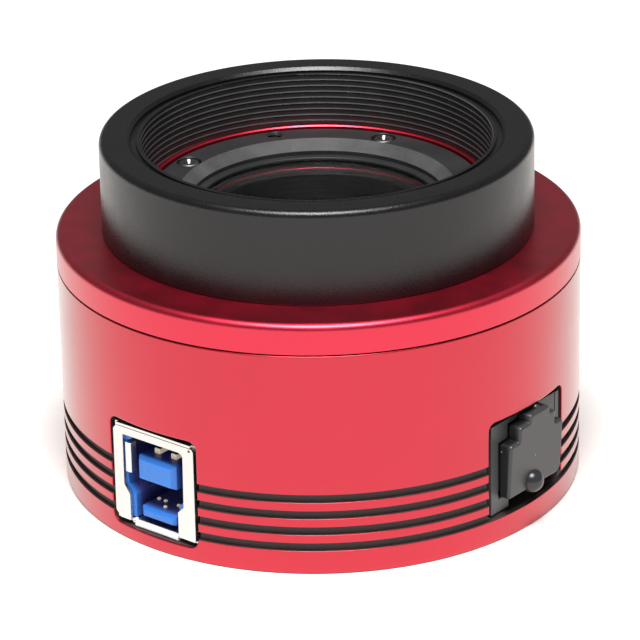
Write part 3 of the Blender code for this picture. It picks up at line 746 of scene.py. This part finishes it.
def build_usb_lip():
    """The rolled lip at the shell's foot with a curl at its end, and the spring in the shell's side."""
    front, lip_low, lip_top, thick = USB_FACE, 1.75, 2.4, 0.3
    lip = arcs([(front, lip_low, 0.2), (front + 0.6, lip_low, 0.2), (front + 0.6, lip_top - thick, 0.1),
                (front + 3.4, lip_top - thick), (front + 3.4, lip_top), (front, lip_top, 0.36)], 6)
    piece("usb_steel_lip", drawn(lip, -3.4, 3.08, "x"), CAMERA_BODY, [LIP_STEEL_PAINTED_SHADE], bevel=0.03)
    bore_r, curl_r, half, soft = 0.13, 0.27, 0.28, 0.05
    curl = turned(arcs([(bore_r, -half, soft), (curl_r, -half, soft), (curl_r, half, soft),
                        (bore_r, half, soft)], 3), 32)
    piece("usb_lip_curl", facing_front(curl, (-3.5, front + 0.3, 2.44)), CAMERA_BODY, [LIP_STEEL_PAINTED_SHADE])
    left, right, near, far = -4.64, -3.8, front + 0.15, front + 1.2
    spring = arcs([(left, near, 0.05), (right, near, 0.15), (right, far, 0.1), (left, far, 0.05)], 3)
    piece("usb_shell_spring", drawn(spring, 8.45, 12.2, "z"), CAMERA_BODY, [SPRING],
          bevel=0.04)


def tongue(front, wide, high, chamfer, rear):
    """A tongue of the insulator: a rounded front face, a short chamfer and the full section behind it. The
    front face's range and the full section's are given for the width, and then for the height."""
    soft, corner = 0.08, 0.1
    loops = []
    for y, part, inset in ((front, 0, soft), (front + 0.3 * soft, 0, 0.3 * soft), (front + soft, 0, 0),
                           (front + chamfer, 1, 0.3 * soft), (front + chamfer + soft, 1, 0), (rear, 1, 0)):
        (left, right), (low, top) = wide[part], high[part]
        left, right, low, top = left + inset, right - inset, low + inset, top - inset
        outline = arcs([(left, low, corner), (right, low, corner), (right, top, corner),
                        (left, top, corner)], 3)
        loops.append([(a, y, b) for a, b in outline])
    return lofted(loops)


def build_usb_insulator():
    """The blue insulator: a liner inside the shell with a floor and a web in one corner, and two tongues with
    tapered tips."""
    (left, right), (_, rear), (low, high) = span("usb_insulator")
    front, end_wall = USB_FACE + 0.5, -20.5
    root = end_wall + 0.5
    foot_left, foot_right, side_left, side_right, ceiling = -3.5, 3.1, -4.6, 4.1, 12.9
    liner = block((left, right), (front, rear), (low, high))
    hollow = arcs([(foot_left, low - 1), (foot_right, low - 1), (foot_right, 6.02, 0.2),
                   (side_right, 7.1, 0.2), (side_right, ceiling, 0.2), (side_left, ceiling, 0.2),
                   (side_left, 6.75, 0.3), (foot_left, 5.6, 0.3)], 4)
    liner = combined(liner, [drawn(hollow, front - 1, end_wall, "y")])
    floor = block((foot_left, foot_right), (front + 2.7, rear), (low, 3.0))
    web = [(-4.9, 13.15), (-4.9, 12.35), (-4.15, 12.5), (-3.45, 13.15)]
    large = tongue(USB_FACE + 0.3, ((-2.75, 2.12), (-3.08, 2.6)), ((8.02, 10.47), (7.8, 10.85)), 0.48, root)
    small = tongue(USB_FACE + 0.4, ((-2.45, 2.15), (-2.8, 2.4)), ((3.28, 4.05), (3.2, 4.42)), 0.34, root)
    parts = [floor, drawn(web, front - 0.05, front + 0.9, "y"), large, small]
    insulator = combined(liner, parts, "UNION")
    piece("usb_blue_insulator", insulator, CAMERA_BODY, [USB_BLUE_PAINTED_SHADE], ["usb_insulator"],
          bevel=0.03, sharp=20)


def build_usb_contacts():
    """The plated contacts: leaves with a raised tip, two over the large tongue and two under it, and short
    flat tips on the small tongue."""
    for number in range(1, 5):
        node = f"usb_contact_{number}"
        (left, right), (tip, end), (low, high) = span(node)
        foot, rise = (low, 0.55) if number < 3 else (high, -0.25)
        crest, leaf_top = foot + 1.2 * rise, foot + 0.2 * rise
        leaf = [(tip, foot), (tip, foot + rise), (tip + 0.08, crest), (tip + 0.18, crest),
                (tip + 0.45, leaf_top), (end, leaf_top), (end, foot)]
        piece(f"gold_{node}", drawn(leaf, left, right, "x"), CAMERA_BODY, [CONTACT_PAINTED_GLOW],
              [node], bevel=0.06)
    soft, narrow = 0.06, 0.1
    for number in range(1, 6):
        node = f"usb_fast_contact_{number}"
        (left, right), (near, _), (low, high) = span(node)
        foot, top = low - 0.1, high - soft
        tip = arcs([(near, foot), (near, top, soft), (near + 0.32, top, soft), (near + 0.37, foot)], 3)
        piece(f"gold_{node}", drawn(tip, left + narrow, right - narrow, "x"), CAMERA_BODY, [CONTACT_PAINTED_GLOW],
              [node], bevel=0.03)


# ---------------------------------------------------------------- guide socket


def keyed(halves, heights, corner, grow=0.0, foot=0.0, top_shift=0.0):
    """A keyed outline about the guide socket's middle: each half width has its top, narrower going up. Its
    corners are rounded, one foot corner by its own radius. The whole outline can be grown, and its top tier
    shifted sideways."""
    low, *tops = heights
    right, left = [], []
    bottom = low - grow
    outside = corner + grow
    for tier, (half, top) in enumerate(zip(halves, tops)):
        middle = GUIDE_Y + (top_shift if tier == len(tops) - 1 else 0.0)
        inside = outside if tier == 0 else corner / 4 - grow
        first = foot + grow if tier == 0 and foot else inside
        right += [(middle + half + grow, bottom, first), (middle + half + grow, top + grow, outside)]
        left += [(middle - half - grow, bottom, inside), (middle - half - grow, top + grow, outside)]
        bottom = top + grow
    return arcs(right + left[::-1], 4)


def build_guide_jack():
    """The grey guide socket: a housing with a keyed cavity, a foot notch and a shallow line in its face."""
    (back, front), (left, right), (low, high) = span("guide_jack")
    end_wall, notch_left, notch_top, notch_depth, line_depth = 15.6, -2.75, 5.3, 2.6, 0.5
    housing = block((back, front), (left, right), (low, high))
    cavity = drawn(keyed((5.2, 3.4), (4.9, 12.1, 13.9), 0.05), end_wall, front + 1, "x")
    notch = drawn([(notch_left, low - 1), (right + 1, low - 1), (right + 1, notch_top),
                   (notch_left, notch_top), (notch_left, 4.0)], front - notch_depth, front + 1, "x")
    line = block((front - line_depth, front + 1), (6.2, 6.36), (8.0, high - 0.05))
    housing = combined(housing, [cavity, notch, line])
    piece("guide_jack_housing", housing, CAMERA_BODY, [JACK_GREY], ["guide_jack"], bevel=0.08)


def build_guide_contacts():
    """Six round spring wires, each bowed up from the cavity's floor."""
    half_wide, half_high, sides = 0.16, 0.13, 12
    for number in range(1, 7):
        node = f"guide_contact_{number}"
        (back, front), (left, right), (low, high) = span(node)
        middle = (left + right) / 2
        wire = [(back, low + 0.12), (19.3, high - 0.15), (21.0, high - 0.5), (front, low + 0.12)]
        loops = []
        for a, b in wire:
            loops.append([(a, middle + half_wide * math.cos(t), b + half_high * math.sin(t))
                          for t in (math.tau * k / sides for k in range(sides))])
        piece(f"gold_{node}", lofted(loops), CAMERA_BODY, [GOLD], [node])


def build_guide_plug():
    """The soft rubber dust plug: a keyed head that leans out, a stem in the cavity, a dome to pull and a
    small nub on top."""
    stem_end, back, front, lean, rounding = 25.25, 30.2, 31.4, 0.55, 0.35
    heights = (5.1, 12.0, 13.8, 14.75)
    low, high = heights[0], heights[-1]

    def loop(grow, behind):
        outline = keyed((5.1, 3.45, 1.95), heights, corner=0.45, grow=grow, foot=0.95, top_shift=0.35)
        return [(front + lean * (z - low) / (high - low) - behind, y, z) for y, z in outline]

    loops = [[(back, y, z) for x, y, z in loop(0, 0)]]
    steps = 5
    for step in range(steps + 1):
        turn = math.radians(90 * step / steps)
        loops.append(loop(-rounding * (1 - math.cos(turn)), rounding * (1 - math.sin(turn))))
    stem = drawn(keyed((4.85, 3.05), (5.7, 11.75, 13.55), 0.3), stem_end, back + 0.5, "x")
    dome_r, dome_centre = 1.42, Vector((31.2, 0.1, 5.87))
    dome = ball(dome_r, dome_centre, 48)
    nub = ball(0.5, (31.0, 1.05, high), 24)
    plug = combined(lofted(loops), [stem, dome, nub], "UNION")
    painted(plug, 1, lambda c: (c - dome_centre).length < dome_r + MARGIN and c.x > dome_centre.x + 0.1)
    piece("rubber_guide_plug", plug, DUST_PLUG, [PLUG_RUBBER_PAINTED_SHADE, PLUG_DOME], ["guide_plug"])


# ---------------------------------------------------------------- inside


def build_sensor():
    """The image sensor: a ceramic package with a pocket, the die with its raised border and the cover glass,
    and the light baffle round them."""
    pocket, pocket_depth, border, etch = 4.3, 1.3, 0.25, 0.02
    x, y, z = span("sensor_package")
    package = combined(block(x, y, z), [block((-pocket, pocket), (-pocket, pocket),
                                              (z[1] - pocket_depth, z[1] + 1))])
    piece("ceramic_package", package, CAMERA_BODY, [CERAMIC], ["sensor_package"], bevel=0.06)
    x, y, z = span("sensor_die")
    die = combined(block(x, y, z), [block((x[0] + border, x[1] - border), (y[0] + border, y[1] - border),
                                          (z[1] - etch, z[1] + 1))])
    piece("sensor_silicon", die, CAMERA_BODY, [SILICON], ["sensor_die"], bevel=0.01)
    x, y, z = span("sensor_cover_glass")
    piece("sensor_glass_lid", block(x, y, z), CAMERA_BODY, [SENSOR_GLASS],
          ["sensor_cover_glass"], bevel=0.06)
    low, high = span("light_baffle")[2]
    opening_r, cup_in, cup_out, cup_floor = 8.4, 12.7, LEDGE_R - 0.3, low + 1.4
    cup = arcs([(opening_r, low), (cup_out, low, 0.1), (cup_out, high, 0.2), (cup_in, high, 0.2),
                (cup_in, cup_floor, 0.4), (opening_r, cup_floor, 0.2)], 4)
    piece("soft_light_baffle", turned(cup, 128), CAMERA_BODY, [BAFFLE], ["light_baffle"])


def dress_inner_nodes():
    """Finishes for the CAD nodes that stay: the boards, their parts, the pillars and the seal."""
    finishes = {"shell_seal": SEAL, "sensor_board": BOARD, "main_board": BOARD,
                "board_header": CONNECTOR, "board_socket": CONNECTOR, "image_processor": CHIP,
                "usb_controller": CHIP, "memory_chip": CHIP, "clock_crystal": CRYSTAL,
                "power_inductor": FERRITE}
    for number in range(1, 5):
        finishes[f"frame_pillar_{number}"] = BRASS
        finishes[f"board_spacer_{number}"] = BRASS
    for node, material in finishes.items():
        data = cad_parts[node].data
        data.materials.clear()
        data.materials.append(material)


# ---------------------------------------------------------------- studio


def build_floor():
    """A pale floor, a hair below the object's foot."""
    half, gap = 1.5, 0.00002         # in metres
    floor_mesh = bmesh.new()
    floor_mesh.faces.new([floor_mesh.verts.new((x, y, -gap)) for x, y in oblong(half, half)])
    data = bpy.data.meshes.new("floor")
    floor_mesh.to_mesh(data)
    floor_mesh.free()
    data.materials.append(finish("pale_floor", (0.90, 0.865, 0.835), 0.8, grain=1.5, relief=0.01, vary=0.01))
    floor = bpy.data.objects.new("floor", data)
    bpy.context.scene.collection.objects.link(floor)


def build_light():
    """One large soft light, above and a little towards the viewer."""
    soft = bpy.data.lights.new("overhead_soft_light", "AREA")
    soft.shape = "SQUARE"
    soft.size = LIGHT_SIZE
    soft.energy = LIGHT_ENERGY
    above = bpy.data.objects.new("overhead_soft_light", soft)
    azimuth = math.radians(CAMERA_AZIMUTH)
    above.location = (LIGHT_FORWARD * math.sin(azimuth), -LIGHT_FORWARD * math.cos(azimuth), LIGHT_HEIGHT)
    above.rotation_euler = above.location.to_track_quat("Z", "Y").to_euler()
    bpy.context.scene.collection.objects.link(above)


def build_room():
    """A dim even room, whose walls look pale."""
    world = bpy.data.worlds.new("room")
    world.use_nodes = True
    bpy.context.scene.world = world
    nodes, links = world.node_tree.nodes, world.node_tree.links
    seen = nodes.new("ShaderNodeBackground")
    seen.inputs["Color"].default_value = (0.9, 0.9, 0.9, 1)
    room = nodes["Background"]
    room.inputs["Color"].default_value = (0.15, 0.147, 0.145, 1)
    path = nodes.new("ShaderNodeLightPath")
    mix = nodes.new("ShaderNodeMixShader")
    links.new(path.outputs["Is Camera Ray"], mix.inputs["Fac"])
    links.new(room.outputs[0], mix.inputs[1])
    links.new(seen.outputs[0], mix.inputs[2])
    links.new(mix.outputs[0], nodes["World Output"].inputs["Surface"])
    bpy.context.scene.view_settings.view_transform = "Standard"


def build_camera():
    """The camera, from its angles about the point that it looks at."""
    azimuth, elevation = math.radians(CAMERA_AZIMUTH), math.radians(CAMERA_ELEVATION)
    back = Vector((math.sin(azimuth) * math.cos(elevation), -math.cos(azimuth) * math.cos(elevation),
                   math.sin(elevation)))
    data = bpy.data.cameras.new("camera")
    data.sensor_width = 36
    data.lens = CAMERA_LENS
    data.clip_start = 0.01
    data.clip_end = 10
    camera = bpy.data.objects.new("camera", data)
    camera.location = (Vector(CAMERA_AIM) + back * CAMERA_DISTANCE) * MM
    camera.rotation_mode = "QUATERNION"
    roll = Quaternion((0, 0, 1), math.radians(CAMERA_ROLL))
    camera.rotation_quaternion = (-back).to_track_quat("-Z", "Y") @ roll
    bpy.context.scene.collection.objects.link(camera)
    bpy.context.scene.camera = camera


build_camera()
build_floor()
build_light()
build_room()
build_barrel()
build_cover()
build_back_cover()
build_ring()
build_retainer()
build_retainer_screws()
build_back_screws()
build_window()
build_usb_shell()
build_usb_lip()
build_usb_insulator()
build_usb_contacts()
build_guide_jack()
build_guide_contacts()
build_guide_plug()
build_sensor()
dress_inner_nodes()
